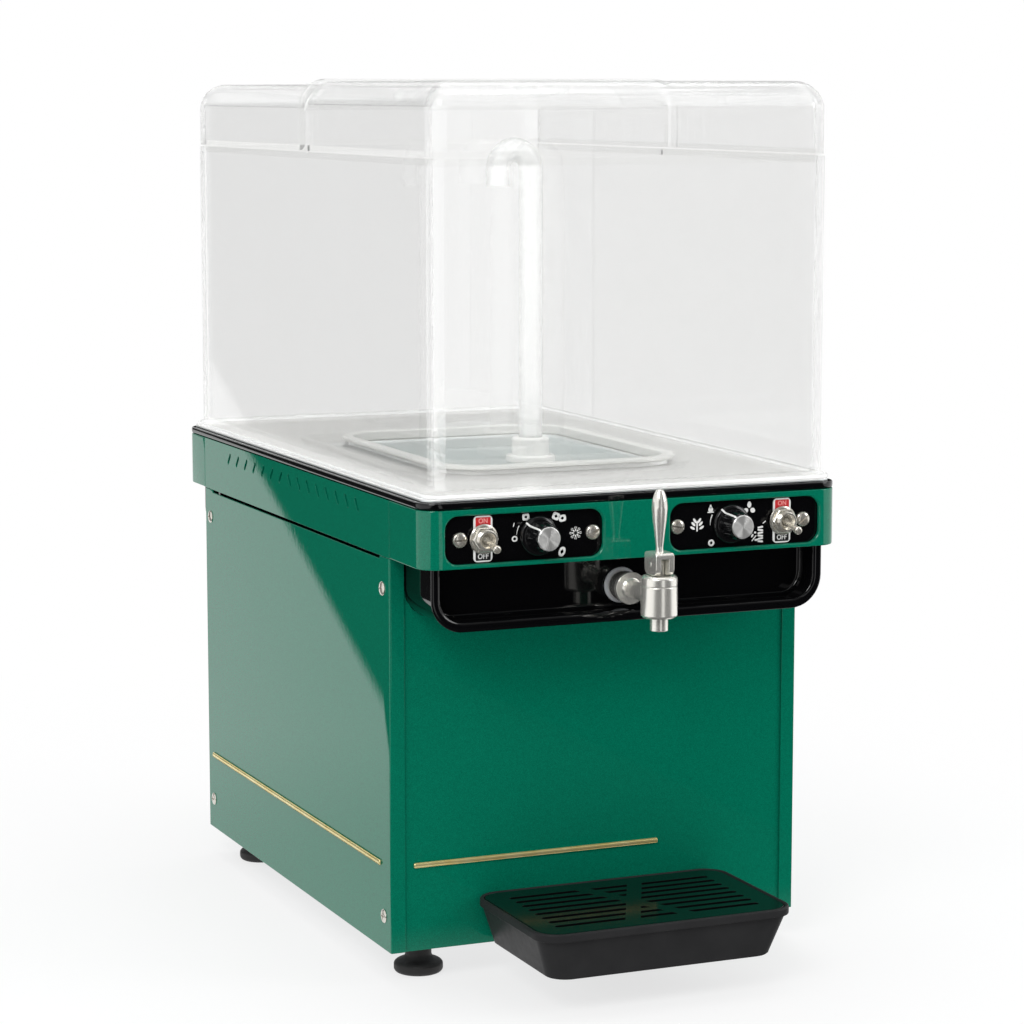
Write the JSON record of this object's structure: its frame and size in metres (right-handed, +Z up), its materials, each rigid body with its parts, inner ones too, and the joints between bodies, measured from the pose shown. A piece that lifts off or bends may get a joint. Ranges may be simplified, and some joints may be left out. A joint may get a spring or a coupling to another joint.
{
  "type": "cold drink dispenser",
  "caption": "Counter-top chilled drink dispenser: sheet-metal cabinet, clear bowl with split lid, spray pump, front lever tap, toggle and dial controls, drip tray.",
  "frame": {"origin": "centre of the footprint of the whole object, on the surface that the feet stand on", "axes": "+Z up, +Y from the tap to the back, +X to the right seen from the front"},
  "size_m": [0.2726, 0.5, 0.5368],
  "materials": {
    "green_paint": "metallic paint under clear coat",
    "galvanised_steel": "dull zinc",
    "gloss_black": "gloss",
    "satin_steel": "satin",
    "nickel_plate": "polished",
    "white_plastic": "semi-gloss",
    "clear_plastic": "clear",
    "charcoal_plastic": "semi-matt",
    "black_rubber": "matt",
    "pale_rubber": "translucent",
    "gold_brass": "polished",
    "copper": "bare copper",
    "foam": "rigid foam",
    "black_enamel": "enamel",
    "aluminium": "satin",
    "magnet_grey": "sintered"
  },
  "bodies": {
    "cabinet": {"side_panel_left": "green_paint", "side_panel_right": "green_paint", "vent_band_left": "green_paint", "vent_band_right": "green_paint", "front_panel": "green_paint", "rear_panel": "green_paint", "collar_front": "green_paint", "collar_rear": "green_paint", "base_plate": "galvanised_steel", "fan_shroud": "galvanised_steel", "thermostat": "galvanised_steel", "spray_selector": "galvanised_steel", "tray_bracket": "galvanised_steel", "tub": "gloss_black", "control_plate_left": "gloss_black", "control_plate_right": "gloss_black", "cold_well": "satin_steel", "tap_body": "satin_steel", "tap_nut": "satin_steel", "toggle_switch_left": "nickel_plate", "toggle_switch_right": "nickel_plate", "foot_front_left": "black_rubber", "foot_front_right": "black_rubber", "foot_rear_left": "black_rubber", "foot_rear_right": "black_rubber", "cable_gland": "black_rubber", "tap_gasket": "pale_rubber", "drain_tube": "pale_rubber", "front_strip": "gold_brass", "side_strip_left": "gold_brass", "side_strip_right": "gold_brass", "evaporator_coil": "copper", "suction_line": "copper", "discharge_line": "copper", "liquid_line": "copper", "foam_insulation": "foam", "pump_motor": "black_enamel", "fan_motor": "black_enamel", "compressor": "black_enamel", "condenser": "aluminium"},
    "bowl": {"bowl": "clear_plastic", "well_seal": "white_plastic"},
    "front_lid": {"front_lid": "clear_plastic"},
    "rear_lid": {"rear_lid": "clear_plastic"},
    "pump_cover": {"pump_cover": "white_plastic"},
    "spray_tube": {"spray_tube": "clear_plastic"},
    "impeller": {"impeller": "white_plastic"},
    "drive_magnet": {"drive_magnet": "magnet_grey"},
    "condenser_fan": {"condenser_fan": "aluminium"},
    "valve_stem": {"valve_stem": "satin_steel", "lever_pin": "satin_steel"},
    "tap_lever": {"tap_lever": "satin_steel"},
    "toggle_lever_left": {"toggle_lever_left": "nickel_plate"},
    "toggle_lever_right": {"toggle_lever_right": "nickel_plate"},
    "thermostat_knob": {"thermostat_knob": "gloss_black", "thermostat_knob_cap": "aluminium"},
    "spray_knob": {"spray_knob": "gloss_black", "spray_knob_cap": "aluminium"},
    "drip_tray": {"drip_tray": "charcoal_plastic"},
    "drip_grille": {"drip_grille": "gloss_black"}
  },
  "joints": [
    {"name": "bowl_lift", "type": "slide", "parent": "cabinet", "child": "bowl", "axis": [0, 0, 1], "range_m": [0, 0.22]},
    {"name": "front_lid_lift", "type": "slide", "parent": "bowl", "child": "front_lid", "axis": [0, 0, 1], "range_m": [0, 0.06]},
    {"name": "rear_lid_lift", "type": "slide", "parent": "bowl", "child": "rear_lid", "axis": [0, 0, 1], "range_m": [0, 0.06]},
    {"name": "pump_cover_lift", "type": "slide", "parent": "cabinet", "child": "pump_cover", "axis": [0, 0, 1], "range_m": [0, 0.02]},
    {"name": "spray_tube_swivel", "type": "hinge", "parent": "pump_cover", "child": "spray_tube", "pos_m": [0, -0.0425, 0.31], "axis": [0, 0, 1], "continuous": true},
    {"name": "drive_magnet_spin", "type": "hinge", "parent": "cabinet", "child": "drive_magnet", "pos_m": [0, -0.0425, 0.2265], "axis": [0, 0, 1], "continuous": true},
    {"name": "impeller_spin", "type": "hinge", "parent": "cabinet", "child": "impeller", "pos_m": [0, -0.0425, 0.238], "axis": [0, 0, 1], "continuous": true},
    {"name": "condenser_fan_spin", "type": "hinge", "parent": "cabinet", "child": "condenser_fan", "pos_m": [0, -0.078, 0.0828], "axis": [0, 1, 0], "continuous": true},
    {"name": "valve_lift", "type": "slide", "parent": "cabinet", "child": "valve_stem", "axis": [0, 0, 1], "range_m": [0, 0.004], "stiffness_N_per_m": 1500, "springref_m": -0.002},
    {"name": "tap_lever_pull", "type": "hinge", "parent": "valve_stem", "child": "tap_lever", "pos_m": [0, -0.229, 0.259], "axis": [1, 0, 0], "range_deg": [0, 80]},
    {"name": "toggle_left_tip", "type": "hinge", "parent": "cabinet", "child": "toggle_lever_left", "pos_m": [-0.09685, -0.2012, 0.27485], "axis": [-1, 0, 0], "range_deg": [0, 24]},
    {"name": "toggle_right_tip", "type": "hinge", "parent": "cabinet", "child": "toggle_lever_right", "pos_m": [0.09685, -0.2012, 0.27485], "axis": [-1, 0, 0], "range_deg": [0, 24]},
    {"name": "thermostat_knob_turn", "type": "hinge", "parent": "cabinet", "child": "thermostat_knob", "pos_m": [-0.06245, -0.205, 0.27485], "axis": [0, 1, 0], "range_deg": [-105, 195]},
    {"name": "spray_knob_turn", "type": "hinge", "parent": "cabinet", "child": "spray_knob", "pos_m": [0.06245, -0.205, 0.27485], "axis": [0, 1, 0], "range_deg": [-105, 195]},
    {"name": "drip_tray_slide", "type": "slide", "parent": "cabinet", "child": "drip_tray", "axis": [0, -1, 0], "range_m": [0, 0.11]},
    {"name": "drip_grille_lift", "type": "slide", "parent": "drip_tray", "child": "drip_grille", "axis": [0, 0, 1], "range_m": [0, 0.03]}
  ],
  "couplings": [
    {"joint": "impeller_spin", "follows": "drive_magnet_spin", "ratio": 1},
    {"joint": "tap_lever_pull", "follows": "valve_lift", "rad_per_m": 349}
  ]
}
